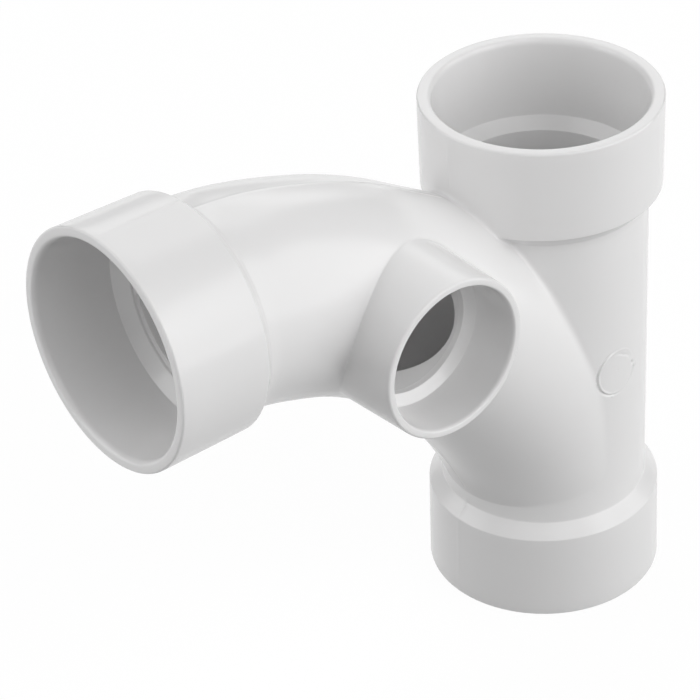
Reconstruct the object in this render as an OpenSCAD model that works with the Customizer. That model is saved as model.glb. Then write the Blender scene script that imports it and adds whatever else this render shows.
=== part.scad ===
// Combination wye with a side inlet: one moulded drainage fitting.
// A straight vertical run has a socket at each end. A branch leaves the run low
// on one side in a long sweep, passes through 45 degrees and turns to almost
// horizontal, where it ends in a third socket. A smaller socket opens into the
// side of the bend.
// Frame: +Z up the run, origin on the run's axis where a pipe's end stops in the
// bottom socket. The branch opens towards -X and the side inlet towards -Y.
// Heights are given from the run's bottom rim, which lies one socket below.

/* [Run] */
// Overall length of the run, rim to rim
run_length = 231; // [222:1:270]
// Outside diameter of the run between its hubs
run_od = 88.8; // [87:0.1:92]
// Waterway diameter of the run
run_bore = 77.9; // [70:0.1:80]

/* [Main sockets] */
// Diameter of the three main sockets
socket_d = 89; // [88.6:0.1:89.4]
// Depth of the three main sockets
socket_depth = 36; // [25:0.5:42]
// Depth of the sloping seat that a pipe stops on
seat_depth = 4.4; // [1:0.2:6]
// Length of the rounded lead-in at each main rim
lead_in_length = 3; // [1:0.5:8]
// Radial width of the lead-in at the rim
lead_in_width = 1.8; // [0.4:0.1:2.4]

/* [Hubs] */
// Outside diameter of the run's hubs at the rim
hub_od = 101; // [98:0.2:108]
// Outside diameter of the branch hub at the rim
branch_hub_od = 99.2; // [98:0.2:106]
// Length of the three main hubs to the start of the shoulder
hub_length = 40.6; // [38:0.2:48]
// Mould draft of the hubs, narrower away from the rim
hub_draft = 0.6; // [0:0.1:1.5]
// Radius of the hubs' outer edges
hub_edge = 1; // [0.4:0.1:1.6]

/* [Branch] */
// Distance from the run's axis to the middle of the branch rim
branch_reach = 222; // [205:1:260]
// Height of the middle of the branch rim
branch_height = 207.6; // [202:0.2:212]
// Upward pitch of the branch socket, for drainage fall
branch_pitch = 1.2; // [0:0.1:2]
// Outside diameter of the swept branch
branch_od = 87.2; // [84:0.1:88]
// Waterway diameter of the branch
branch_bore = 72.2; // [68:0.1:75]
// Diameter of the branch waterway's short mouth, behind the socket's seat
branch_throat = 77; // [76:0.1:78]
// Centreline radius of the bend above the straight leg
bend_radius = 169; // [150:1:180]
// Length of the straight stretch at 45 degrees
leg_length = 18; // [8:1:30]
// Centreline radius of the heel sweep below the straight leg
heel_radius = 243; // [225:1:260]

/* [Side inlet] */
// Distance of the side inlet from the run's axis
inlet_from_run = 105; // [95:1:120]
// Distance of the side inlet below the middle of the bend
inlet_drop = 4; // [0:0.5:6]
// Distance from the branch's middle plane to the inlet rim
inlet_reach = 65; // [60:0.5:80]
// Outside diameter of the inlet hub at the rim
inlet_od = 67.6; // [66:0.2:72]
// Mould draft of the inlet hub
inlet_draft = 1; // [0:0.1:1.5]
// Diameter of the inlet socket
inlet_socket_d = 60.4; // [59.8:0.1:61]
// Depth of the inlet socket
inlet_socket_depth = 22; // [15:0.5:26]
// Depth of the inlet's sloping seat
inlet_seat_depth = 2.7; // [1:0.1:4]
// Waterway diameter of the inlet, behind its seat
inlet_bore = 51.6; // [46:0.2:54]
// Draft of the inlet's waterway, narrower towards the branch
inlet_bore_draft = 5; // [0:0.5:7]
// Length of the inlet's rounded lead-in
inlet_lead_length = 2; // [1:0.2:5]
// Radial width of the inlet's lead-in
inlet_lead_width = 1; // [0.3:0.1:1.4]

/* [Witness mark] */
// Diameter of the round mould mark on the run
mark_d = 21; // [12:1:28]
// Width of the mark's raised ring
mark_ring = 0.8; // [0.6:0.1:2]
// Height that the ring stands proud of the run
mark_height = 0.3; // [0.2:0.1:0.8]
// Height of the mark's middle above the bottom rim
mark_at = 115; // [90:1:140]

/* [Hidden] */
$fn = 96;

wye_angle = 45;      // slope of the straight leg, to the horizontal
throat = 1.2;        // length that the branch socket's core runs on past its seat
overlap = 1;         // how far a cut or a shoulder runs on past its surface
edge_steps = 6;      // flats that make up each rounded edge

run_r = run_od / 2;
run_bore_r = run_bore / 2;
branch_r = branch_od / 2;
branch_bore_r = branch_bore / 2;
throat_r = branch_throat / 2;
socket_r = socket_d / 2;
bend_start = socket_depth + seat_depth / 2;

// The branch's middle line lies in the plane y = 0 and is worked out as points
// [u, z], where u is the distance from the run's axis towards -X. A slope of a
// degrees has the direction [cos(a), sin(a)], and on an arc the middle line is
// at centre + radius * [-sin(a), cos(a)].
function along(a) = [cos(a), sin(a)];
function across(a) = [-sin(a), cos(a)];

branch_mouth = [branch_reach, branch_height];
bend_top = branch_mouth - bend_start * along(branch_pitch);
bend_centre = bend_top - bend_radius * across(branch_pitch);
leg_top = bend_centre + bend_radius * across(wye_angle);
leg_foot = leg_top - leg_length * along(wye_angle);
heel_centre = leg_foot - heel_radius * across(wye_angle);
// The heel sweep ends where the middle line reaches the run's axis
heel_slope = asin(heel_centre[0] / heel_radius);

// The inlet sits square to the bend, just below the bend's middle line
inlet_height = bend_centre[1] - inlet_drop
    + sqrt(pow(bend_radius, 2) - pow(bend_centre[0] - inlet_from_run, 2));
// The inlet hub starts inside the branch's waterway, where the bore trims it
inlet_root = branch_bore_r / 4;

// A quarter-round edge as points: the arc of radius r about c from angle a to b
function edge_points(c, r, a, b) =
    [for (i = [0:edge_steps]) let (t = a + (b - a) * i / edge_steps) c + r * [cos(t), sin(t)]];

// Hub body with its rim at z = 0, lying below it: drafted wall, rounded edges
// and a 45 degree shoulder that runs down into a barrel of radius barrel_r
module hub_body(rim_r, barrel_r) {
    root_r = rim_r - (hub_length - hub_edge) * tan(hub_draft);
    shoulder = root_r - barrel_r + overlap;
    rotate_extrude() polygon(concat(
        [[0, 0]],
        edge_points([rim_r - hub_edge, -hub_edge], hub_edge, 90, 0),
        edge_points([root_r - hub_edge, hub_edge - hub_length], hub_edge, 0, -45),
        [[barrel_r - overlap, -hub_length - shoulder], [0, -hub_length - shoulder]]
    ));
}

// Everything that is open in a socket with its rim at z = 0: rounded lead-in,
// socket and the sloping seat that narrows to the waterway
module socket_void(r, depth, seat, bore_r, lead_length, lead_width) {
    seat_run = overlap * (r - bore_r) / seat;
    rotate_extrude() polygon(concat(
        [[0, overlap], [r + lead_width, overlap]],
        [for (i = [0:edge_steps]) let (t = 90 * i / edge_steps)
            [r + lead_width * (1 - sin(t)), lead_length * (cos(t) - 1)]],
        [
            [r, -depth],
            [bore_r - seat_run, -depth - seat - overlap],
            [0, -depth - seat - overlap]
        ]
    ));
}

module main_socket_void(bore_r) {
    socket_void(socket_r, socket_depth, seat_depth, bore_r, lead_in_length, lead_in_width);
}

// Tube of radius r round an arc that leaves the Z axis at the origin and curves
// towards -X: up from there for a side of 1, down for a side of -1
module arc_tube(radius, sweep, side, r) {
    translate([-radius, 0, 0])
        rotate([90 * side, 0, 0])
            rotate_extrude(angle = sweep)
                translate([radius, 0]) circle(r = r);
}

// Places its children with their rim at a point of the branch's plane, facing
// out along a slope
module at_branch(point, slope) {
    translate([-point[0], 0, point[1]])
        rotate([0, slope - 90, 0])
            children();
}

// The swept branch as a solid rod, in the frame of its straight leg: the heel
// sweep runs down from the leg's foot to the run's axis, the bend up from its top
module branch_rod(r) {
    at_branch(leg_foot, wye_angle) {
        arc_tube(heel_radius, heel_slope - wye_angle, -1, r);
        cylinder(r = r, h = leg_length);
        translate([0, 0, leg_length])
            arc_tube(bend_radius, wye_angle - branch_pitch, 1, r);
    }
}

module at_inlet() {
    translate([-inlet_from_run, -inlet_reach, inlet_height])
        rotate([90, 0, 0])
            children();
}

module at_run_top() {
    translate([0, 0, run_length]) children();
}

module at_run_bottom() {
    rotate([180, 0, 0]) children();
}

module outside() {
    translate([0, 0, hub_length / 2])
        cylinder(r = run_r, h = run_length - hub_length);
    at_run_top() hub_body(hub_od / 2, run_r);
    at_run_bottom() hub_body(hub_od / 2, run_r);
    branch_rod(branch_r);
    at_branch(branch_mouth, branch_pitch) hub_body(branch_hub_od / 2, branch_r);
    inlet_hub();
    witness_mark();
}

// The side inlet's hub has no shoulder: its drafted wall runs straight into the
// side of the bend
module inlet_hub() {
    length = inlet_reach - inlet_root;
    rim_r = inlet_od / 2;
    at_inlet() rotate_extrude() polygon(concat(
        [[0, 0]],
        edge_points([rim_r - hub_edge, -hub_edge], hub_edge, 90, 0),
        [[rim_r - length * tan(inlet_draft), -length], [0, -length]]
    ));
}

// Round witness of a mould insert: a thin ring that stands proud of the run and
// follows its curve, on the side that the inlet faces
module witness_mark() {
    ring_r = mark_d / 2;
    wall_middle = (run_r + run_bore_r) / 2;
    depth = sqrt(pow(wall_middle, 2) - pow(ring_r, 2));
    intersection() {
        translate([0, -depth, mark_at]) rotate([90, 0, 0]) difference() {
            cylinder(r = ring_r, h = run_r);
            translate([0, 0, -overlap]) cylinder(r = ring_r - mark_ring, h = run_r + 2 * overlap);
        }
        translate([0, 0, mark_at - mark_d]) cylinder(r = run_r + mark_height, h = 2 * mark_d);
    }
}

module inside() {
    translate([0, 0, socket_depth]) cylinder(r = run_bore_r, h = run_length - 2 * socket_depth);
    at_run_top() main_socket_void(run_bore_r);
    at_run_bottom() main_socket_void(run_bore_r);
    branch_rod(branch_bore_r);
    at_branch(branch_mouth, branch_pitch) {
        main_socket_void(throat_r);
        translate([0, 0, -socket_depth - seat_depth - throat])
            cylinder(r = throat_r, h = seat_depth + throat);
    }
    at_inlet() inlet_void();
}

// The inlet's socket, and its waterway as a cone that ends in the middle of the
// branch and starts inside the seat
module inlet_void() {
    bore_r = inlet_bore / 2;
    seat_end = inlet_socket_depth + inlet_seat_depth;
    socket_void(inlet_socket_d / 2, inlet_socket_depth, inlet_seat_depth,
        bore_r, inlet_lead_length, inlet_lead_width);
    translate([0, 0, -inlet_reach]) cylinder(
        r1 = bore_r - (inlet_reach - seat_end) * tan(inlet_bore_draft),
        r2 = bore_r + inlet_seat_depth * tan(inlet_bore_draft),
        h = inlet_reach - inlet_socket_depth);
}

module fitting() {
    color("white") translate([0, 0, -socket_depth]) difference() {
        outside();
        inside();
    }
}

fitting();
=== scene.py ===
# Combination wye with a side inlet: a drainage fitting moulded in one piece from
# white rigid PVC. Its body is one mesh that stands for the CAD node and adds what
# the plain solid lacks: fillets, softened rims, the parting line and the mould mark.

import math

import bmesh
import bpy
import numpy as np
from mathutils import Matrix, Vector
from mathutils.geometry import delaunay_2d_cdt


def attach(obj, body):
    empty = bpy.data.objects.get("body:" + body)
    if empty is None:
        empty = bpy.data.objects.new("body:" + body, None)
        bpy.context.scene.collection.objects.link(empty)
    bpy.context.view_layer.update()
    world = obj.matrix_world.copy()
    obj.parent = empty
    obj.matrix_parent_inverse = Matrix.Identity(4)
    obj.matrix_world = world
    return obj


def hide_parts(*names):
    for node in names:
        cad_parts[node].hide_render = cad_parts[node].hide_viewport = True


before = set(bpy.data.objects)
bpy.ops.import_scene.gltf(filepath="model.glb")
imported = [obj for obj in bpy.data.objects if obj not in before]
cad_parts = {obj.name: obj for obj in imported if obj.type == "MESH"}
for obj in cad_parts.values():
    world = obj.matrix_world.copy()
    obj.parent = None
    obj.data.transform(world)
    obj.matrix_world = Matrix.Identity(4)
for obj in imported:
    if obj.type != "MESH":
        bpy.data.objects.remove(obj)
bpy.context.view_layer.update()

# The run: the fitting's straight pipe, with a hub at each end. Mould halves form its
# outside, so the hubs narrow a little away from their rims and end in a shoulder.
# Lengths are in millimetres, and heights count from where a pipe stops at the bottom.
MM = 0.001
FOOT, TOP = -36.0, 195.0
RUN_R = 44.4
HUB_R, HUB_LENGTH, HUB_DRAFT = 50.5, 40.0, math.radians(0.6)
EDGE, SHOULDER_FILLET = 1.0, 0.9
SOCKET_R, LEAD_IN_WIDTH, RIM_FLAT = 44.5, 1.8, 0.9
RIM_R = SOCKET_R + LEAD_IN_WIDTH + RIM_FLAT
PAST_AXIS, PAST_BARREL = -80.0, 4.0
COLUMNS, PARTING_HALF_WIDTH = 168, 0.27
RING_STEP = 6


def outline_distance(x, y, outline):
    """Signed distance of points from a closed section, negative inside."""
    distance, inside = np.full(len(x), np.inf), np.zeros(len(x), bool)
    for a, b in zip(outline, np.roll(outline, -1, 0)):
        e = b - a
        u, v = x - a[0], y - a[1]
        t = np.clip((u * e[0] + v * e[1]) / (e @ e), 0, 1)
        distance = np.minimum(distance, np.hypot(u - t * e[0], v - t * e[1]))
        if e[1]:
            crossed = (a[1] <= y) != (b[1] <= y)
            inside ^= crossed & (u < v * e[0] / e[1])
    return np.where(inside, -distance, distance)


def inset(outline, margin):
    """The outline of a convex section, listed anticlockwise, moved inward."""
    edges = np.roll(outline, -1, 0) - outline
    edges /= np.linalg.norm(edges, axis=1)[:, None]
    starts = outline + margin * np.stack([-edges[:, 1], edges[:, 0]], -1)
    made = []
    for i in range(len(outline)):
        step = np.linalg.solve(np.stack([edges[i - 1], -edges[i]], -1), starts[i] - starts[i - 1])
        made.append(starts[i - 1] + step[0] * edges[i - 1])
    return np.array(made)


def hub_section(rim_r, barrel_r):
    """Half of a hub's section with its rim at height 0, from past the axis to the
    shoulder's end inside the barrel. It is inset, and a distance from it less the
    inset has rounded edges."""
    root = rim_r - HUB_LENGTH * math.tan(HUB_DRAFT)
    deep = root - barrel_r + PAST_BARREL
    return inset(np.array([
        (PAST_AXIS, -HUB_LENGTH - deep),
        (root - deep, -HUB_LENGTH - deep),
        (root, -HUB_LENGTH),
        (rim_r, 0),
        (PAST_AXIS, 0),
    ]), EDGE)


RUN_HUB = hub_section(HUB_R, RUN_R)


def rounded(corners, radii, steps=4):
    """A profile with its inner corners rounded."""
    made = [corners[0]]
    for a, b, c, r in zip(corners[:-2], corners[1:-1], corners[2:], radii):
        a, b, c = np.array(a, float), np.array(b, float), np.array(c, float)
        u, v = (a - b) / np.linalg.norm(a - b), (c - b) / np.linalg.norm(c - b)
        half = math.acos(np.clip(u @ v, -1, 1)) / 2
        if r == 0 or half > math.radians(89):
            made.append(b)
            continue
        cut = r / math.tan(half)
        centre = b + (u + v) / np.linalg.norm(u + v) * r / math.sin(half)
        p, q = b + cut * u - centre, b + cut * v - centre
        for t in np.linspace(0, 1, steps + 1):
            w = p * (1 - t) + q * t
            made.append(centre + r * w / np.linalg.norm(w))
    made.append(corners[-1])
    return np.array(made)


def spread(profile, most):
    """A profile with points added so that no step is longer than most."""
    made = [profile[0]]
    for a, b in zip(profile[:-1], profile[1:]):
        n = max(1, math.ceil(np.linalg.norm(b - a) / most))
        made += [a + (b - a) * (k + 1) / n for k in range(n)]
    return np.array(made)


def hub_profile(rim_r, barrel_r, deep):
    """Radius and depth below the rim, down the outside of a hub to its barrel."""
    root = rim_r - HUB_LENGTH * math.tan(HUB_DRAFT)
    foot = HUB_LENGTH + root - barrel_r
    corners = [(RIM_R, 0), (rim_r, 0), (root, -HUB_LENGTH), (barrel_r, -foot), (barrel_r, -deep)]
    return rounded(corners, [EDGE, EDGE, SHOULDER_FILLET], 5)


# even columns, and a pair close beside each quarter turn for the parting line
turns = np.arange(COLUMNS - 8) * 2 * math.pi / (COLUMNS - 8)
beside_parting = np.arange(4)[:, None] * math.pi / 2 + np.array([-1, 1]) * PARTING_HALF_WIDTH / RUN_R
turns = np.sort(np.concatenate([turns, np.mod(beside_parting, 2 * math.pi).ravel()]))


def run_ring(r, z, t=turns):
    return np.stack([r * np.cos(t), r * np.sin(t), np.broadcast_to(z, np.shape(t))], -1)


def run_outside(p):
    """Distance from the run's outside, as far as the branch meets it."""
    rho, z = np.hypot(p[:, 0], p[:, 1]), p[:, 2]
    return np.minimum(rho - RUN_R, outline_distance(rho, z - TOP, RUN_HUB) - EDGE)


# The branch: it leaves the run low on one side, climbs at 45 degrees and bends to
# almost level, where it ends in a hub. Its curved core is drawn out of the mould in
# two parts. The moulding sags a little in the bend and is stouter at the leg.
BRANCH_R, BRANCH_HUB_R = 43.6, 49.6
BRANCH_MOUTH = np.array([222.0, 171.6])
PITCH, LEG_SLOPE = math.radians(1.2), math.radians(45)
BEND_R, LEG, HEEL_R = 169.0, 18.0, 243.0
SOCKET_DEPTH, SEAT = 36.0, 4.4
BEND_SAG, LEG_RISE, LEG_SWELL, HEEL_END_R = 1.5, 1.6, 2.0, 44.2
BRANCH_HUB = hub_section(BRANCH_HUB_R, BRANCH_R)


def along(a):
    return np.stack([np.cos(a), np.sin(a)], -1)


def across(a):
    return np.stack([-np.sin(a), np.cos(a)], -1)


# the middle line, as points of distance from the run's axis and height, and the
# distances from the mouth at which its stretches end
BEND_START = SOCKET_DEPTH + SEAT / 2
bend_top = BRANCH_MOUTH - BEND_START * along(PITCH)
bend_centre = bend_top - BEND_R * across(PITCH)
leg_top = bend_centre + BEND_R * across(LEG_SLOPE)
leg_foot = leg_top - LEG * along(LEG_SLOPE)
heel_centre = leg_foot - HEEL_R * across(LEG_SLOPE)
heel_slope = math.asin(heel_centre[0] / HEEL_R)
LEG_TOP_AT = BEND_START + BEND_R * (LEG_SLOPE - PITCH)
LEG_FOOT_AT = LEG_TOP_AT + LEG
PATH_END = LEG_FOOT_AT + HEEL_R * (heel_slope - LEG_SLOPE)


def path(s):
    """The middle line at the distance s from the mouth: its point and its slope."""
    s = np.asarray(s, float)
    a = PITCH + np.clip(s - BEND_START, 0, LEG_TOP_AT - BEND_START) / BEND_R
    a = a + np.clip(s - LEG_FOOT_AT, 0, None) / HEEL_R
    d = s[..., None]
    point = np.where(d < BEND_START, BRANCH_MOUTH - d * along(PITCH), bend_centre + BEND_R * across(a))
    point = np.where(d < LEG_TOP_AT, point, leg_top - (d - LEG_TOP_AT) * along(LEG_SLOPE))
    return np.where(d < LEG_FOOT_AT, point, heel_centre + HEEL_R * across(a)), a


def ease(x, a, b):
    """0 before a, 1 past b, and a soft step between."""
    t = np.clip((x - a) / (b - a), 0, 1)
    return t * t * (3 - 2 * t)


def outer_tube(s):
    """The branch's outside at the distance s: how far its middle lies above the
    path, and its radius."""
    bend, leg, heel = ease(s, 50, 90), ease(s, 130, 178), ease(s, 230, 270)
    offset = LEG_RISE * (leg - heel) - BEND_SAG * (bend - leg)
    return offset, BRANCH_R + LEG_SWELL * leg + (HEEL_END_R - BRANCH_R - LEG_SWELL) * heel


def path_near(p, tube):
    """For points in space: the distance from the wall of the branch's tube, the
    nearest place on the path, and the slant of the wall there."""
    q = np.stack([-p[:, 0], p[:, 2]], -1)
    best, place = np.full(len(p), np.inf), np.zeros(len(p))

    def offer(s):
        distance = np.linalg.norm(q - path(s)[0], axis=1)
        nearer = distance < best
        best[nearer], place[nearer] = distance[nearer], s[nearer]

    def slope_from(centre, low, high):
        v = q - centre
        return np.clip(np.arctan2(-v[:, 0], v[:, 1]), low, high)

    offer(np.clip((BRANCH_MOUTH - q) @ along(PITCH), 0, BEND_START))
    offer(BEND_START + BEND_R * (slope_from(bend_centre, PITCH, LEG_SLOPE) - PITCH))
    offer(LEG_TOP_AT + np.clip((leg_top - q) @ along(LEG_SLOPE), 0, LEG))
    offer(LEG_FOOT_AT + HEEL_R * (slope_from(heel_centre, LEG_SLOPE, heel_slope) - LEG_SLOPE))
    point, a = path(place)
    offset, radius = tube(place)
    line = across(a)
    n = ((q - point) * line).sum(1) - offset
    beyond = np.sqrt(np.maximum(best**2 - (n + offset) ** 2, 0))
    slant = np.stack([-n * line[:, 0], p[:, 1], n * line[:, 1]], -1)
    slant /= np.maximum(np.linalg.norm(slant, axis=1), 1e-9)[:, None]
    return np.sqrt(n**2 + p[:, 1] ** 2 + beyond**2) - radius, place, slant


def branch_axes(p):
    """Distance from the branch socket's axis, and distance out from its rim."""
    out = np.array([-math.cos(PITCH), 0, math.sin(PITCH)])
    w = p - np.array([-BRANCH_MOUTH[0], 0, BRANCH_MOUTH[1]])
    a = w @ out
    return np.linalg.norm(w - a[:, None] * out, axis=1), a


def branch_ring(r, out, t=turns):
    """A ring about the branch socket's axis; out is the distance from the rim."""
    middle = BRANCH_MOUTH + out * along(PITCH)
    n = r * np.sin(t)
    x, z = middle[0] + n * across(PITCH)[0], middle[1] + n * across(PITCH)[1]
    return np.stack([-x, r * np.cos(t), z], -1)


def tube_points(tube, s, t):
    """Points on the branch's barrel at the distance s from the mouth."""
    point, a = path(s)
    offset, r = tube(s)
    n = offset + r * np.sin(t)
    x, z = point[:, 0] + n * across(a)[:, 0], point[:, 1] + n * across(a)[:, 1]
    return np.stack([-x, r * np.cos(t), z], -1)


# The side inlet: a short socket for a smaller pipe, square to the side of the bend.
# It has no shoulder: its wall, a little wider at the root, runs straight into the
# bend, and its corner there is crisp.
INLET_FROM_RUN, INLET_REACH, INLET_DROP = 105.0, 65.0, 4.0
INLET_R, INLET_FLARE = 33.8, math.radians(1.7)
INLET_SOCKET_R, INLET_LEAD_WIDTH = 30.2, 1.0
INLET_RIM_R = INLET_SOCKET_R + INLET_LEAD_WIDTH + RIM_FLAT
INLET_ROOT = 60
INLET_COLUMNS = 104
inlet_z = bend_centre[1] - INLET_DROP + math.sqrt(BEND_R**2 - (bend_centre[0] - INLET_FROM_RUN) ** 2)
inlet_turns = np.arange(INLET_COLUMNS) * 2 * math.pi / INLET_COLUMNS


def outer_inlet(out):
    return INLET_R - out * math.tan(INLET_FLARE)


INLET_HUB = inset(np.array([
    (PAST_AXIS, -INLET_ROOT),
    (outer_inlet(-INLET_ROOT), -INLET_ROOT),
    (INLET_R, 0),
    (PAST_AXIS, 0),
]), EDGE)


def inlet_axes(p):
    return np.hypot(p[:, 0] + INLET_FROM_RUN, p[:, 2] - inlet_z), -p[:, 1] - INLET_REACH


def inlet_ring(r, out, t=inlet_turns):
    y = np.broadcast_to(-INLET_REACH - out, np.shape(t))
    return np.stack([-INLET_FROM_RUN + r * np.cos(t), y, inlet_z + r * np.sin(t)], -1)


# The sockets and the waterway: what the mould's cores leave open. Each socket has a
# rounded lead-in, a straight wall for the pipe and a sloping seat that it stops on.
# Behind the branch's seat a short throat steps down to the waterway.
RUN_BORE, BRANCH_BORE = 38.95, 36.1
THROAT_R, THROAT = 38.5, 1.2
LEAD_IN, SEAT_ROUNDING = 3.0, 0.5
INLET_BORE, INLET_BORE_DRAFT = 25.8, math.radians(5)
INLET_DEPTH, INLET_SEAT, INLET_LEAD_IN = 22.0, 2.7, 2.0
CORE_RING_AT, CORE_RING_HEIGHT = -27.3, 0.1


def inner_tube(s):
    return 0 * s, BRANCH_BORE + 0 * s


def inner_inlet(out):
    return INLET_BORE + (INLET_DEPTH + INLET_SEAT + out) * math.tan(INLET_BORE_DRAFT)


def run_inside(p):
    return np.hypot(p[:, 0], p[:, 1]) - RUN_BORE


def socket_profile(r, depth, seat, bore, lead_in, lead_width, tail):
    """Radius and depth below the rim, down the inside of a socket."""
    t = np.linspace(0, math.pi / 2, 9)
    lead = np.stack([r + lead_width * (1 - np.sin(t)), lead_in * (np.cos(t) - 1)], -1)
    corners = [(r, -lead_in), (r, -depth), (bore, -depth - seat), (bore, -depth - seat - tail)]
    wall = rounded(corners, [SEAT_ROUNDING, SEAT_ROUNDING])
    return np.concatenate([[(r + lead_width + RIM_FLAT, 0)], lead, wall[1:]])


# The corners where run, hubs, branch and inlet meet. The tool maker rounds them
# with fillets: small ones at shoulders and ports, and one between branch and run
# that is fine under the top hub and wide at the foot, where heel and run are almost one.
INLET_FILLET, BORE_FILLET = 0.35, 0.6
MOST_LEAN = 0.9994
# the run's barrel ends inside its hubs, and the inlet's bore past the branch's middle
BARREL_INSET, INLET_BORE_END = 20, -85


def fillet(a, b, radius, lean=0.0):
    """Joins two distances with a rolled fillet of that radius in the corner; lean
    is the cosine of the angle between the two surfaces' normals."""
    square = 1 - np.minimum(lean, MOST_LEAN) ** 2
    u, v = radius - a, radius - b
    rolled = ((u - lean * v) > 0) & ((v - lean * u) > 0)
    round_off = radius - np.sqrt(np.maximum(u * u + v * v - 2 * lean * u * v, 0) / square)
    return np.where(rolled, round_off, np.minimum(a, b))


def run_lean(p, slant):
    """The cosine between the run's wall and another that has the given slant."""
    radial = p[:, :2] / np.maximum(np.hypot(p[:, 0], p[:, 1]), 1e-9)[:, None]
    return (slant[:, :2] * radial).sum(1)


def crease_radius(p):
    """The fillet's radius between branch and run, by height z, and by how far out
    of the branch's plane the place is: it stays fine in that plane."""
    y, z = np.abs(p[:, 1]), p[:, 2]
    return 1.2 + (2.3 * ease(z, 148, 120) + 14 * ease(z, 100, 40)) * ease(y, 20, 40)


def outer_rule(p):
    """Signed distance from the whole outside, fillets included."""
    rho, z = np.hypot(p[:, 0], p[:, 1]), p[:, 2]
    ends = np.maximum(FOOT + BARREL_INSET - z, z - TOP + BARREL_INSET)
    barrel = np.maximum(rho - RUN_R, ends)
    hubs = np.minimum(outline_distance(rho, z - TOP, RUN_HUB), outline_distance(rho, FOOT - z, RUN_HUB))
    run = fillet(barrel, hubs - EDGE, SHOULDER_FILLET)
    wall, place, slant = path_near(p, outer_tube)
    r, a = branch_axes(p)
    branch = fillet(wall, outline_distance(r, a, BRANCH_HUB) - EDGE, SHOULDER_FILLET)
    r, a = inlet_axes(p)
    branch = fillet(branch, outline_distance(r, a, INLET_HUB) - EDGE, INLET_FILLET)
    return fillet(run, branch, crease_radius(p), run_lean(p, slant))


def inner_rule(p):
    """Signed distance from the waterway's wall, behind the seats."""
    branch, place, slant = path_near(p, inner_tube)
    r, a = inlet_axes(p)
    wall = (r - inner_inlet(a)) * math.cos(INLET_BORE_DRAFT)
    branch = fillet(branch, np.maximum(wall, INLET_BORE_END - a), BORE_FILLET)
    return fillet(run_inside(p), branch, BORE_FILLET, run_lean(p, slant))


def slope_of(rule, p, h=0.02):
    return np.stack([rule(p + h * e) - rule(p - h * e) for e in np.eye(3)], -1) / (2 * h)


def draw_onto(p, rule, rounds=5, furthest=0.6, flattest=0.05):
    """Moves points along the rule's own slope until they lie on its surface."""
    p = p.copy()
    for _ in range(rounds):
        slope = slope_of(rule, p)
        size = np.maximum((slope**2).sum(1), flattest)
        p -= np.clip(rule(p) / size, -furthest, furthest)[:, None] * slope
    return p


# The mould mark: the witness of a round insert on the run, on the inlet's side. Its
# edge stands proud, most on the side of the branch, where a shallow groove runs
# along it. At the upper right it breaks off in a nick.
MARK_X, MARK_Z, MARK_R, MARK_REACH = 1.5, 79.0, 10.7, 12.6
MARK_MIDDLE = 1.5 * math.pi * RUN_R + MARK_X
# the run is one sheet between these heights, and plain rings below and above
LOWER, UPPER = 11.4, 172.0


def mark_points():
    """Points of the run's sheet about the mark, in rings that are close together
    near its edge."""
    rows = [np.array([[MARK_MIDDLE, MARK_Z]])]
    for r in (0.35, 0.8, 1.6, 3, 4.5, 5.8, *np.arange(6.6, 11.9, 0.18), 12.2, 12.7):
        n = max(12, round(min(r * 8, 6 * r + 30)))
        a = np.arange(n) * 2 * math.pi / n
        rows.append(np.stack([MARK_MIDDLE + r * np.cos(a), MARK_Z + r * np.sin(a)], -1))
    rows = np.concatenate(rows)
    rows[:, 1] -= LOWER
    return rows


def hump(x, middle, left, right):
    """A ridge of height 1 at the middle that falls to 0 on either side."""
    return np.clip(1 - np.where(x < middle, (middle - x) / left, (x - middle) / right), 0, 1)


def mark_relief(x, y):
    """Height of the mark's relief at places x along the run's surface and y up."""
    out, turn = np.hypot(x, y), np.degrees(np.arctan2(y, x))

    def facing(way, spread_by):
        return np.clip(1.5 - np.abs(np.mod(turn - way + 180, 360) - 180) / spread_by, 0, 1)

    def dot(at_x, at_y, width):
        return hump(np.hypot(x - at_x, y - at_y), 0, 1, width)

    deep = facing(190, 70)
    edge = (0.16 + 0.3 * deep) * hump(out, MARK_R - 0.45, 0.7, 0.4)
    edge *= np.clip(deep + facing(70, 40) + 0.35 * facing(-70, 40), 0, 1)
    groove = 0.75 * deep * hump(out, MARK_R + 0.25, 0.55, 0.8)
    upper_arc = 0.3 * facing(60, 28) * hump(out, 7.3 + 0.03 * np.abs(turn - 60), 0.3, 1.6)
    right_arc = 0.4 * facing(-32, 26) * hump(out, 11.4, 0.35, 0.7)
    nick = 0.8 * dot(9.7, -0.3, 1.1) - 0.5 * dot(11.6, -2.6, 0.9)
    nub = 0.5 * dot(-3.0, -11.3, 0.6) - 0.3 * dot(0, 1.0, 0.5)
    return edge - groove - upper_arc - right_arc - nick + nub


# The mesh of the one moulding. Both sides of its wall, the outside and the
# waterway, are made alike: rings for hubs, sockets and inlet, and two sheets, the
# rolled-up run with a hole for the branch and the branch with a hole for the inlet.
BESIDE = (0.3, 0.65, 1.05, 1.5, 2.0, 2.7, 3.6)
CLEAR, SADDLE_ZONE = BESIDE[-1] + 0.6, 3.2
CREASE_STEP, BRANCH_STEP, FINE_TURNS = 1.35, 3.0, 1600
END_GAP, MARK_GAP, MARK_CLEAR = 0.6, 0.3, 0.8


def in_loop(points, loop):
    inside = np.zeros(len(points), bool)
    for a, b in zip(loop, np.roll(loop, -1, 0)):
        if a[1] != b[1]:
            crossed = (a[1] <= points[:, 1]) != (b[1] <= points[:, 1])
            slope = (b[0] - a[0]) / (b[1] - a[1])
            inside ^= crossed & (points[:, 0] < a[0] + (points[:, 1] - a[1]) * slope)
    return inside


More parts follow.
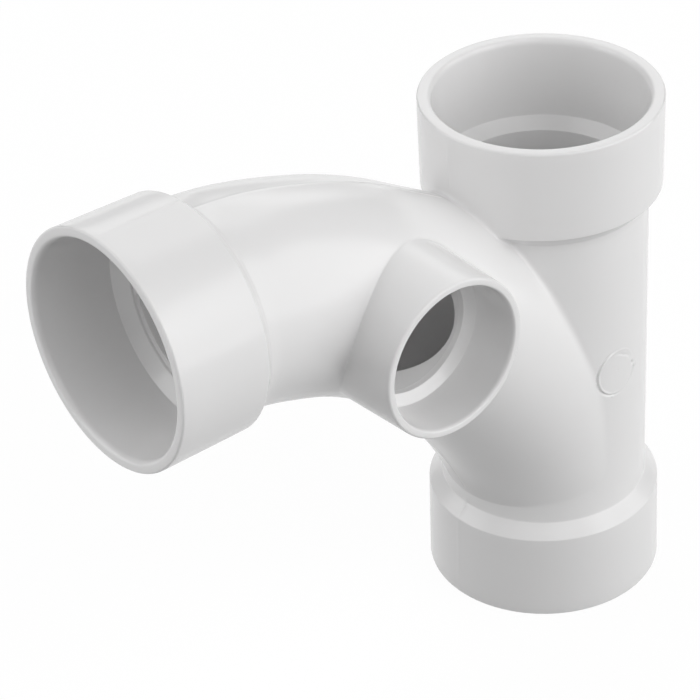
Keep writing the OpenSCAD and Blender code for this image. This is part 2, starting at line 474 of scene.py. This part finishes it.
def from_line(points, line, width=None):
    """Distance of flat points from a closed line of short steps. A sheet of the
    given width closes on itself in x."""
    best = np.full(len(points), np.inf)
    for a, b in zip(line, np.roll(line, -1, 0)):
        e, w = b - a, points - a
        if width:
            e[0] -= width * round(e[0] / width)
            w[:, 0] -= width * np.round(w[:, 0] / width)
        t = np.clip(w @ e / max(e @ e, 1e-12), 0, 1)
        best = np.minimum(best, np.hypot(*(w - t[:, None] * e).T))
    return best


def beside(line, side, width=None):
    """Rows of points beside a closed line, close together near it."""
    e = np.roll(line, -1, 0) - np.roll(line, 1, 0)
    if width:
        e[:, 0] -= width * np.round(e[:, 0] / width)
    e /= np.linalg.norm(e, axis=1)[:, None]
    normal = side * np.stack([-e[:, 1], e[:, 0]], -1)
    rows = []
    for k, d in enumerate(BESIDE):
        row = line + d * normal
        if k % 2 and not width:
            row = (row + np.roll(row, -1, 0)) / 2
        rows.append(row[from_line(row, line, width) > 0.88 * d])
    return np.concatenate(rows)


def way_round(loop):
    """1 for an anticlockwise loop and -1 for a clockwise one."""
    ahead = np.roll(loop, -1, 0)
    return math.copysign(1, (loop[:, 0] * ahead[:, 1] - loop[:, 1] * ahead[:, 0]).sum())


def first_inside(place, rule, low, high, count, step=0.5):
    """For each of count lines, the first value of the running number at which
    place(value) falls inside the rule."""
    value = np.full(count, float(low))
    found = np.zeros(count, bool)
    sign = 1 if high > low else -1
    while not found.all() and abs(value[~found][0] - low) < abs(high - low):
        ahead = value + sign * step
        hit = rule(place(ahead)) < 0
        value = np.where(found | hit, value, ahead)
        found |= hit
    a, b = value, value + sign * step
    for _ in range(30):
        middle = (a + b) / 2
        hit = rule(place(middle)) < 0
        a, b = np.where(hit, a, middle), np.where(hit, middle, b)
    return (a + b) / 2


class Shell:
    """The points and faces of one closed mesh, gathered ring by ring."""

    def __init__(self):
        self.points, self.faces, self.count = [], [], 0

    def add(self, points, rule=None):
        points = np.asarray(points, float).reshape(-1, 3)
        ids = np.arange(self.count, self.count + len(points))
        self.points.append(draw_onto(points, rule) if rule else points)
        self.count += len(points)
        return ids

    def band(self, rings):
        for low, high in zip(rings[:-1], rings[1:]):
            quads = np.stack([low, np.roll(low, -1), np.roll(high, -1), high], -1)
            self.faces += quads.tolist()

    def sheet(self, flat, ids, chains, keep, width, margin=16.0):
        """Fills a sheet that closes on itself in x after the given width. flat
        holds its points, and each chain is a closed run of them that faces may
        not cross. Points within the margin of the seam are repeated past it, and
        the faces that they make are kept on one side only."""
        places, bases, lookup = [], [], {}
        for turn in (-1, 0, 1):
            x = flat[:, 0] + turn * width
            for i in np.nonzero((x > -margin) & (x < width + margin))[0]:
                lookup[i, turn] = len(places)
                places.append((x[i], flat[i, 1]))
                bases.append(i)
        edges = []
        for chain in chains:
            for i, j in zip(chain, np.roll(chain, -1)):
                gap = flat[j, 0] - flat[i, 0]
                step = -1 if gap > width / 2 else 1 if gap < -width / 2 else 0
                for turn in (-1, 0, 1):
                    a, b = lookup.get((i, turn)), lookup.get((j, turn + step))
                    if a is not None and b is not None:
                        edges.append((a, b))
        made, _, faces, origins, _, _ = delaunay_2d_cdt([Vector(q) for q in places], edges, [], 0, 1e-7)
        base = np.array([bases[o[0]] if o else -1 for o in origins])
        made, faces = np.array(made), np.array(faces)
        middle = made[faces].mean(1)
        kept = (middle[:, 0] >= 0) & (middle[:, 0] < width) & (base[faces] >= 0).all(1)
        kept[kept] = keep(middle[kept])
        self.faces += ids[base[faces[kept]]].tolist()


class Skin:
    """One side of the wall: the run's sheet, the branch's sheet and the inlet's
    rings, which meet at the crease on the run and the saddle on the branch."""

    def __init__(self, shell, rule, run_r, run_body, tube, tube_r, start, inlet_wall):
        self.shell, self.rule, self.run_r, self.tube = shell, rule, run_r, tube
        self.tube_r, self.width, self.start = tube_r, 2 * math.pi * tube_r, start
        self.inlet_wall = inlet_wall
        self.find_crease(run_body)

    def find_crease(self, run_body):
        """Where the branch's lines enter the run, in even steps."""

        def entry(t):
            def line(s):
                return tube_points(self.tube, s, t)

            return first_inside(line, run_body, self.start, PATH_END, len(t))

        fine = np.linspace(0, 2 * math.pi, FINE_TURNS, endpoint=False)
        dense = tube_points(self.tube, entry(fine), fine)
        steps = np.linalg.norm(np.roll(dense, -1, 0) - dense, axis=1)
        length = np.concatenate([[0], np.cumsum(steps)])
        count = round(length[-1] / CREASE_STEP)
        t = np.interp(np.arange(count) * length[-1] / count, length, np.append(fine, 2 * math.pi))
        s = entry(t)
        self.crease = tube_points(self.tube, s, t)
        self.crease_flat = np.stack([t * self.tube_r, s], -1)
        self.crease_ids = self.shell.add(self.crease, self.rule)

    def run_sheet(self, lower, upper, levels, profile, marks=None):
        """The run between a lower and an upper ring, open where the branch enters.
        The profile gives radius and height on the way up."""
        radius, height = profile.T
        flat_height = np.concatenate([[0], np.cumsum(np.linalg.norm(np.diff(profile, axis=0), axis=1))])
        top = flat_height[-1]
        around = np.mod(np.arctan2(self.crease[:, 1], self.crease[:, 0]), 2 * math.pi) * self.run_r
        hole = np.stack([around, np.interp(self.crease[:, 2], height, flat_height)], -1)
        rows = beside(hole, -way_round(hole))
        rows = rows[(rows[:, 1] > END_GAP) & (rows[:, 1] < top - END_GAP)]
        levels = np.interp(levels, height, flat_height)
        grid = np.stack(np.meshgrid(turns * self.run_r, levels, indexing="ij"), -1).reshape(-1, 2)
        grid = grid[~in_loop(grid, hole) & (from_line(grid, hole) > CLEAR)]
        if marks is not None:
            reach = np.hypot(*(marks - marks[0]).T).max()
            grid = grid[np.hypot(*(grid - marks[0]).T) > reach + MARK_CLEAR]
            rows = rows[np.hypot(*(rows - marks[0]).T) > reach + MARK_GAP]
            marks = marks[~in_loop(marks, hole) & (from_line(marks, hole) > MARK_GAP)]
            rows = np.concatenate([rows, marks])
        free = np.concatenate([rows, grid])
        free_r = np.interp(free[:, 1], flat_height, radius)
        free_z = np.interp(free[:, 1], flat_height, height)
        free_ids = self.shell.add(run_ring(free_r, free_z, free[:, 0] / self.run_r), self.rule)
        ends = [np.stack([turns * self.run_r, np.full(COLUMNS, level)], -1) for level in (0, top)]
        flat = np.concatenate([hole, free, *ends])
        ids = np.concatenate([self.crease_ids, free_ids, lower, upper])
        chain = np.arange(len(hole))
        self.shell.sheet(flat, ids, [chain], lambda m: ~in_loop(m, hole), 2 * math.pi * self.run_r)

    def find_saddle(self, last_out):
        """Where the inlet's wall enters the branch."""

        def line(out):
            return inlet_ring(self.inlet_wall(out), out)

        def body(p):
            return path_near(p, self.tube)[0]

        self.saddle_out = first_inside(line, body, last_out, -INLET_REACH, INLET_COLUMNS, 0.25)
        saddle = line(self.saddle_out)
        self.saddle_ids = self.shell.add(saddle, self.rule)
        place = path_near(saddle, self.tube)[1]
        point, a = path(place)
        n = (-saddle[:, 0] - point[:, 0]) * across(a)[:, 0] + (saddle[:, 2] - point[:, 1]) * across(a)[:, 1]
        n -= self.tube(place)[0]
        around = np.mod(np.arctan2(n, saddle[:, 1]), 2 * math.pi) * self.tube_r
        self.port = np.stack([around, place], -1)

    def branch_sheet(self, neck):
        """The branch from its neck to the crease, open where the inlet enters."""
        end_line, port, width = self.crease_flat, self.port, self.width

        def open_wall(q):
            before_end = q[:, 1] < np.interp(q[:, 0], end_line[:, 0], end_line[:, 1], period=width)
            return before_end & ~in_loop(q, port)

        rows = np.concatenate([beside(end_line, -1, width), beside(port, -way_round(port))])
        rows[:, 0] %= width
        levels = np.arange(self.start + BRANCH_STEP, PATH_END, BRANCH_STEP)
        grid = np.stack(np.meshgrid(turns * self.tube_r, levels, indexing="ij"), -1).reshape(-1, 2)
        grid = grid[open_wall(grid)]
        grid = grid[(from_line(grid, end_line, width) > CLEAR) & (from_line(grid, port) > CLEAR)]
        free = np.concatenate([rows, grid])
        free_ids = self.shell.add(tube_points(self.tube, free[:, 1], free[:, 0] / self.tube_r), self.rule)
        start_line = np.stack([turns * self.tube_r, np.full(COLUMNS, self.start)], -1)
        flat = np.concatenate([end_line, port, free, start_line])
        ids = np.concatenate([self.crease_ids, self.saddle_ids, free_ids, neck])
        chains = [np.arange(len(end_line)), len(end_line) + np.arange(INLET_COLUMNS)]
        self.shell.sheet(flat, ids, chains, lambda m: open_wall(m) & (m[:, 1] > self.start), width)

    def inlet_rings(self, last_ids, last_out):
        """The inlet's wall from its last plain ring down to the saddle: even rings,
        then closer ones. Where there is little room, both take a share of it."""
        room = last_out - self.saddle_out
        even, close = np.maximum(room - SADDLE_ZONE, room * 0.35), np.minimum(1, room / 6)
        places = [last_out - share * even for share in np.linspace(0, 1, 7)[1:-1]]
        places += [self.saddle_out + d * close for d in BESIDE[::-1] if d < SADDLE_ZONE]
        rings = [self.shell.add(inlet_ring(self.inlet_wall(out), out), self.rule) for out in places]
        self.shell.band([last_ids, *rings, self.saddle_ids])


shell = Shell()


def run_rings(profile, rim, shared, direction):
    """The rings of a hub or a socket on the run, after the one that both share."""
    return [shared] + [shell.add(run_ring(r, rim + direction * a)) for r, a in profile[1:]]


# one shared ring lies at the middle of each flat rim
rims = {
    "foot": shell.add(run_ring(RIM_R, FOOT)),
    "top": shell.add(run_ring(RIM_R, TOP)),
    "branch": shell.add(branch_ring(RIM_R, 0)),
    "inlet": shell.add(inlet_ring(INLET_RIM_R, 0)),
}

# outside: the bottom hub with its shoulder, and the top hub as far as the branch
bottom = run_rings(spread(hub_profile(HUB_R, RUN_R, LOWER - FOOT), RING_STEP), FOOT, rims["foot"], -1)
shell.band(bottom)
upper_r = HUB_R - (TOP - UPPER) * math.tan(HUB_DRAFT)
top = rounded([(RIM_R, 0), (HUB_R, 0), (upper_r, UPPER - TOP)], [EDGE], 5)
top = run_rings(spread(top, RING_STEP), TOP, rims["top"], 1)
shell.band(top)

# the run's sheet goes on from there over the top hub's shoulder, with more levels
# where its edges are
profile = hub_profile(HUB_R, RUN_R, TOP - LOWER)[::-1] + np.array([0, TOP])
profile = np.concatenate([profile[profile[:, 1] < UPPER], [(upper_r, UPPER)]])
LEVEL_STEP, SHOULDER_FOOT, SHOULDER_TOP = 3.2, 147, 156.5
levels = [
    *np.arange(LOWER + 3, SHOULDER_FOOT, LEVEL_STEP),
    SHOULDER_FOOT + LEVEL_STEP / 2,
    *profile[1:-1, 1],
    *np.arange(SHOULDER_TOP, UPPER - 1, LEVEL_STEP),
]

# the branch's hub, down to a neck from which its sheet starts; its shoulder is
# drawn onto the rule, because the barrel there follows the bend
NECK, DRAWN_FROM = 51.4, -42
rows = spread(hub_profile(BRANCH_HUB_R, BRANCH_R, NECK), RING_STEP)[1:-1]
branch_rings = [shell.add(branch_ring(r, a), outer_rule if a < DRAWN_FROM else None) for r, a in rows]
neck = shell.add(tube_points(outer_tube, np.full(COLUMNS, NECK), turns), outer_rule)
shell.band([rims["branch"], *branch_rings, neck])

# the inlet's first rings end where only its plain wall runs on
INLET_WALL_TO, INLET_STEP = -6, 3
rows = rounded([(INLET_RIM_R, 0), (INLET_R, 0), (outer_inlet(INLET_WALL_TO), INLET_WALL_TO)], [EDGE], 5)
rows = spread(rows, INLET_STEP)[1:]
inlet_rings = [shell.add(inlet_ring(r, a)) for r, a in rows]
shell.band([rims["inlet"], *inlet_rings])

skin = Skin(shell, outer_rule, RUN_R, run_outside, outer_tube, BRANCH_R, NECK, outer_inlet)
skin.run_sheet(bottom[-1], top[-1], levels, profile, mark_points())
skin.find_saddle(rows[-1][1])
skin.branch_sheet(neck)
skin.inlet_rings(inlet_rings[-1], rows[-1][1])
outside_count = shell.count

# inside: the sockets and their seats, then the waterway; each socket's rings end in
# a short tail of waterway behind the seat
RUN_TAIL, THROAT_TAIL, INLET_TAIL = 1.6, THROAT - 0.3, 1.1
SOCKET_STEP = 9
rows = socket_profile(SOCKET_R, SOCKET_DEPTH, SEAT, RUN_BORE, LEAD_IN, LEAD_IN_WIDTH, RUN_TAIL)
rows = spread(rows, SOCKET_STEP)
bottom = run_rings(rows, FOOT, rims["foot"], -1)
shell.band(bottom)
top = run_rings(rows, TOP, rims["top"], 1)
shell.band(top)
low, high = FOOT - rows[-1][1], TOP + rows[-1][1]
profile = np.array([(RUN_BORE, low), (RUN_BORE, high)])
BORE_STEP = 3.4
levels = np.arange(low + 3, high - 2, BORE_STEP)

# the branch's throat steps down to its waterway over a finely rounded edge
throat_end = SOCKET_DEPTH + SEAT + THROAT
neck_in = throat_end + 2
rows = socket_profile(SOCKET_R, SOCKET_DEPTH, SEAT, THROAT_R, LEAD_IN, LEAD_IN_WIDTH, THROAT_TAIL)
rows = spread(rows, SOCKET_STEP)
branch_rings = [shell.add(branch_ring(r, a)) for r, a in rows[1:]]
THROAT_EDGE, STEP_EDGE = 0.12, 0.4
step_down = (
    (THROAT_R, THROAT_EDGE),
    (THROAT_R - THROAT_EDGE, 0),
    (BRANCH_BORE + STEP_EDGE, 0),
    (BRANCH_BORE + STEP_EDGE / 4, -STEP_EDGE / 10),
    (BRANCH_BORE, -STEP_EDGE / 2),
)
branch_rings += [shell.add(branch_ring(r, d - throat_end)) for r, d in step_down]
neck = shell.add(tube_points(inner_tube, np.full(COLUMNS, neck_in), turns))
shell.band([rims["branch"], *branch_rings, neck])

# the fine ring in the inlet is what the mould's cores leave where they meet
rows = spread(socket_profile(
    INLET_SOCKET_R, INLET_DEPTH, INLET_SEAT, INLET_BORE, INLET_LEAD_IN, INLET_LEAD_WIDTH, INLET_TAIL,
), RING_STEP)
for away, inward in ((0.4, 0), (0.15, 0), (0, CORE_RING_HEIGHT), (-0.15, 0), (-0.4, 0)):
    out = CORE_RING_AT + away
    rows = np.concatenate([rows, [(inner_inlet(out) - inward, out)]])
inlet_rings = [shell.add(inlet_ring(r, a)) for r, a in rows[1:]]
shell.band([rims["inlet"], *inlet_rings])

skin = Skin(shell, inner_rule, RUN_BORE, run_inside, inner_tube, BRANCH_BORE, neck_in, inner_inlet)
skin.run_sheet(bottom[-1], top[-1], levels, profile)
skin.find_saddle(rows[-1][1])
skin.branch_sheet(neck)
skin.inlet_rings(inlet_rings[-1], rows[-1][1])

# the mark's relief is added along the run's radius
points = np.concatenate(shell.points)
rho = np.hypot(points[:, 0], points[:, 1])
outside = np.arange(len(points)) < outside_count
mark_x = np.arctan2(points[:, 0], -points[:, 1]) * RUN_R - MARK_X
mark_y = points[:, 2] - MARK_Z
on_barrel = outside & (rho > RUN_R - 0.5) & (rho < RUN_R + 0.9)
at_mark = on_barrel & (np.hypot(mark_x, mark_y) < MARK_REACH)
raised = 1 + mark_relief(mark_x[at_mark], mark_y[at_mark]) / rho[at_mark]
points[at_mark, :2] *= raised[:, None]

# The parting line: a fine, uneven ridge in the plane of the branch, where the two
# halves of the mould meet. It fades at the rims, which are trimmed, and stays
# below the hubs' own width.
PARTING_HEIGHT, FADE = 0.13, 0.2
seam = np.nonzero(outside & (np.abs(points[:, 1]) < 0.01))[0]
at, on_run = points[seam], rho[seam] < HUB_R + 0.01
branch_room = BRANCH_HUB_R - BRANCH_R - path_near(at, outer_tube)[0]
room = np.where(on_run, HUB_R - rho[seam], branch_room)
from_rim = np.where(on_run, np.minimum(at[:, 2] - FOOT, TOP - at[:, 2]), -branch_axes(at)[1])
room = np.minimum(room, FADE * (from_rim - EDGE))
slope = slope_of(outer_rule, at)
slope /= np.maximum(np.linalg.norm(slope, axis=1), 0.3)[:, None]
uneven = 0.75 + 0.25 * np.sin(0.9 * at[:, 0] + 0.7 * at[:, 2]) * np.sin(0.23 * at[:, 2] - 0.31 * at[:, 0])
points[seam] = at + (np.clip(room - 0.02, 0, PARTING_HEIGHT) * uneven)[:, None] * slope

mesh = bpy.data.meshes.new("body")
mesh.from_pydata((points * MM).tolist(), [], shell.faces)
build = bmesh.new()
build.from_mesh(mesh)
bmesh.ops.remove_doubles(build, verts=build.verts, dist=1e-6)
bmesh.ops.recalc_face_normals(build, faces=build.faces)
for face in build.faces:
    face.smooth = True
build.to_mesh(mesh)
build.free()
body = bpy.data.objects.new("fitting_body", mesh)
bpy.context.scene.collection.objects.link(body)


# The finish: white PVC as it comes from the mould, with a soft shine. The thick
# walls shrink unevenly as they cool, so its surface is a little wavy, inward only.
WAVE_DEPTH, WAVES_PER_METRE, WAVE_SEED = 0.00007, 32.0, 3.7
PVC_COLOUR = (0.82, 0.816, 0.816, 1)


def plug(tree, node, inputs):
    """Gives each input, by its name or number, a value or a link from a socket."""
    for name, value in inputs.items():
        if isinstance(value, Socket):
            tree.links.new(value.socket, node.inputs[name])
        else:
            node.inputs[name].default_value = value


class Socket:
    """An output of a node, with arithmetic, so that a formula reads as one."""

    def __init__(self, tree, socket):
        self.tree, self.socket = tree, socket

    @staticmethod
    def new(tree, kind, settings, inputs, output=0):
        """The output of a new node, once its settings and then its inputs are set."""
        node = tree.nodes.new(kind)
        for name, value in settings.items():
            setattr(node, name, value)
        plug(tree, node, inputs)
        return Socket(tree, node.outputs[output]) if node.outputs else None

    def sibling(self, output):
        """Another output of the same node."""
        return Socket(self.tree, self.socket.node.outputs[output])

    def math(self, operation, *others):
        inputs = dict(enumerate((self, *others)))
        return Socket.new(self.tree, "ShaderNodeMath", {"operation": operation}, inputs)

    def __add__(self, other):
        return self.math("ADD", other)

    def __sub__(self, other):
        return self.math("SUBTRACT", other)

    def __rsub__(self, other):
        return self * -1.0 + other

    def __mul__(self, other):
        return self.math("MULTIPLY", other)

    __radd__ = __add__
    __rmul__ = __mul__


def waviness(name):
    """The node tree, and the identifiers of its named inputs."""
    tree = bpy.data.node_groups.new(name, "GeometryNodeTree")
    kinds = {"Geometry": "Geometry", "Depth": "Float", "Waves per metre": "Float", "Material": "Material"}
    named = {}
    for label, kind in kinds.items():
        item = tree.interface.new_socket(label, in_out="INPUT", socket_type="NodeSocket" + kind)
        named[label] = item.identifier
    tree.interface.new_socket("Geometry", in_out="OUTPUT", socket_type="NodeSocketGeometry")

    given = Socket.new(tree, "NodeGroupInput", {}, {})
    position = Socket.new(tree, "GeometryNodeInputPosition", {}, {})
    normal = Socket.new(tree, "GeometryNodeInputNormal", {}, {})
    noise = Socket.new(tree, "ShaderNodeTexNoise", {"noise_dimensions": "4D"}, {
        "Vector": position, "W": WAVE_SEED, "Scale": given.sibling("Waves per metre"), "Detail": 1.0,
    })
    inward = noise * given.sibling("Depth")
    step = Socket.new(tree, "ShaderNodeVectorMath", {"operation": "SCALE"}, {0: normal, "Scale": inward})
    moved = Socket.new(tree, "GeometryNodeSetPosition", {}, {"Geometry": given, "Offset": step})
    real = Socket.new(tree, "GeometryNodeRealizeInstances", {}, {0: moved})
    painted = Socket.new(tree, "GeometryNodeSetMaterial", {}, {
        "Geometry": real, "Material": given.sibling("Material"),
    })
    Socket.new(tree, "NodeGroupOutput", {}, {0: painted})
    return tree, named


def white_pvc():
    """Slow clouds and upright flow marks in tone and shine, under a fine skin."""
    material = bpy.data.materials.new("white_pvc")
    material.use_nodes = True
    tree = material.node_tree
    place = Socket.new(tree, "ShaderNodeTexCoord", {}, {}, "Object")
    upright = Socket.new(tree, "ShaderNodeMapping", {}, {"Vector": place, "Scale": (9.0, 9.0, 60.0)})

    def noise(vector, scale, detail):
        inputs = {"Vector": vector, "Scale": scale, "Detail": detail}
        return Socket.new(tree, "ShaderNodeTexNoise", {}, inputs)

    cloud, flow = noise(place, 14.0, 3.0), noise(upright, 1.0, 4.0)
    grain, peel = noise(place, 900.0, 2.0), noise(place, 160.0, 2.0)
    tone = 0.985 + 0.03 * (cloud - 0.5) + 0.012 * (flow - 0.5)
    rough = 0.23 + 0.08 * (cloud - 0.5) + 0.05 * (flow - 0.5)
    height = 0.25 * peel + 0.06 * grain
    mixing = {"data_type": "RGBA", "blend_type": "MULTIPLY"}
    layers = {"Factor": 1.0, "A": PVC_COLOUR, "B": tone}
    colour = Socket.new(tree, "ShaderNodeMix", mixing, layers, "Result")
    bump = Socket.new(tree, "ShaderNodeBump", {}, {"Strength": 0.25, "Distance": 0.00008, "Height": height})
    plug(tree, tree.nodes["Principled BSDF"], {
        "Base Color": colour, "Roughness": rough, "Normal": bump, "IOR": 1.53, "Specular IOR Level": 0.5,
    })
    return material


group, named = waviness("moulding_waviness")
modifier = body.modifiers.new("waviness", "NODES")
modifier.node_group = group
modifier[named["Depth"]] = -WAVE_DEPTH
modifier[named["Waves per metre"]] = WAVES_PER_METRE
modifier[named["Material"]] = white_pvc()
finished = bpy.data.meshes.new_from_object(body.evaluated_get(bpy.context.evaluated_depsgraph_get()))
body.modifiers.clear()
body.data = finished
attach(body, "root")
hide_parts("fitting")


# The place: a white sweep of paper, as in a catalogue photograph. It looks evenly
# lit to the camera and in reflections, and throws little light at the fitting.
FLOOR_HALF = 6
PAPER_GREY, PAPER_GLOW, PAPER_SHARE = 0.3, 1.18, 0.8

floor_mesh = bpy.data.meshes.new("floor")
corners = ((-1, -1, 0), (1, -1, 0), (1, 1, 0), (-1, 1, 0))
floor_mesh.from_pydata([Vector(corner) * FLOOR_HALF for corner in corners], [], [(0, 1, 2, 3)])
floor = bpy.data.objects.new("floor", floor_mesh)
floor.location.z = FOOT * MM
bpy.context.scene.collection.objects.link(floor)

paper = bpy.data.materials.new("paper")
paper.use_nodes = True
tree = paper.node_tree
tree.nodes.clear()
ray = Socket.new(tree, "ShaderNodeLightPath", {}, {}, "Is Camera Ray")
seen_ray = ray.math("MAXIMUM", ray.sibling("Is Glossy Ray"))
seen_ray = seen_ray.math("MAXIMUM", ray.sibling("Is Transmission Ray"))
matt = Socket.new(tree, "ShaderNodeBsdfDiffuse", {}, {"Color": (PAPER_GREY, PAPER_GREY, PAPER_GREY, 1)})
glow = Socket.new(tree, "ShaderNodeEmission", {}, {"Strength": PAPER_GLOW})
shown = Socket.new(tree, "ShaderNodeMixShader", {}, {0: seen_ray * PAPER_SHARE, 1: matt, 2: glow})
Socket.new(tree, "ShaderNodeOutputMaterial", {}, {"Surface": shown})
floor_mesh.materials.append(paper)

world = bpy.data.worlds.new("studio")
world.use_nodes = True
plug(world.node_tree, world.node_tree.nodes["Background"], {"Color": (1, 1, 1, 1), "Strength": 0.02})
bpy.context.scene.world = world


# The lamps: large square soft boxes about the fitting. The strongest stands low
# on the right of the camera, and the others fill in from the left and behind.
LAMPS_ABOUT, LAMP_DISTANCE, CAMERA_TURN = Vector((-0.08, 0, 0.08)), 2.0, -128.36


def soft_box(name, turn, height, power, size=1.8):
    """turn is the lamp's angle round to the right of the camera, and height its
    angle above the floor."""
    turn, height = math.radians(turn + CAMERA_TURN), math.radians(height)
    out = Vector((math.cos(height) * math.cos(turn), math.cos(height) * math.sin(turn), math.sin(height)))
    light = bpy.data.lights.new(name, "AREA")
    light.shape, light.size, light.energy = "SQUARE", size, power
    lamp = bpy.data.objects.new(name, light)
    lamp.location = LAMPS_ABOUT + LAMP_DISTANCE * out
    lamp.rotation_euler = (-out).to_track_quat("-Z", "Y").to_euler()
    bpy.context.scene.collection.objects.link(lamp)


soft_box("key", 75, 12, 42.0, 2.6)
soft_box("front_right_low", 45, 12, 5.0)
soft_box("front_right_high", 45, 45, 8.0)
soft_box("front_high", 0, 45, 7.0)
soft_box("front_left_low", -45, 12, 5.6)
soft_box("left_low", -90, 12, 12.4)
soft_box("left_high", -90, 45, 12.8)
soft_box("back_low", 180, 12, 6.4)
soft_box("back_high", 180, 45, 12.0)


# The camera, placed by matching the outlines of the rims and barrels in the
# photograph.
RIGHT = Vector((0.765889, -0.641661, -0.041047))
UP = Vector((0.386520, 0.408455, 0.826902))
BACK = Vector((-0.513825, -0.649181, 0.560846))
STANDPOINT = Vector((-0.719774, -0.776848, 0.788804))

lens = bpy.data.cameras.new("camera")
lens.lens, lens.sensor_width = 153.51, 36.0
lens.clip_start, lens.clip_end = 0.05, 50.0
camera = bpy.data.objects.new("camera", lens)
camera.matrix_world = Matrix.Translation(STANDPOINT) @ Matrix((RIGHT, UP, BACK)).transposed().to_4x4()
bpy.context.scene.collection.objects.link(camera)
bpy.context.scene.camera = camera
bpy.context.scene.view_settings.view_transform = "Standard"
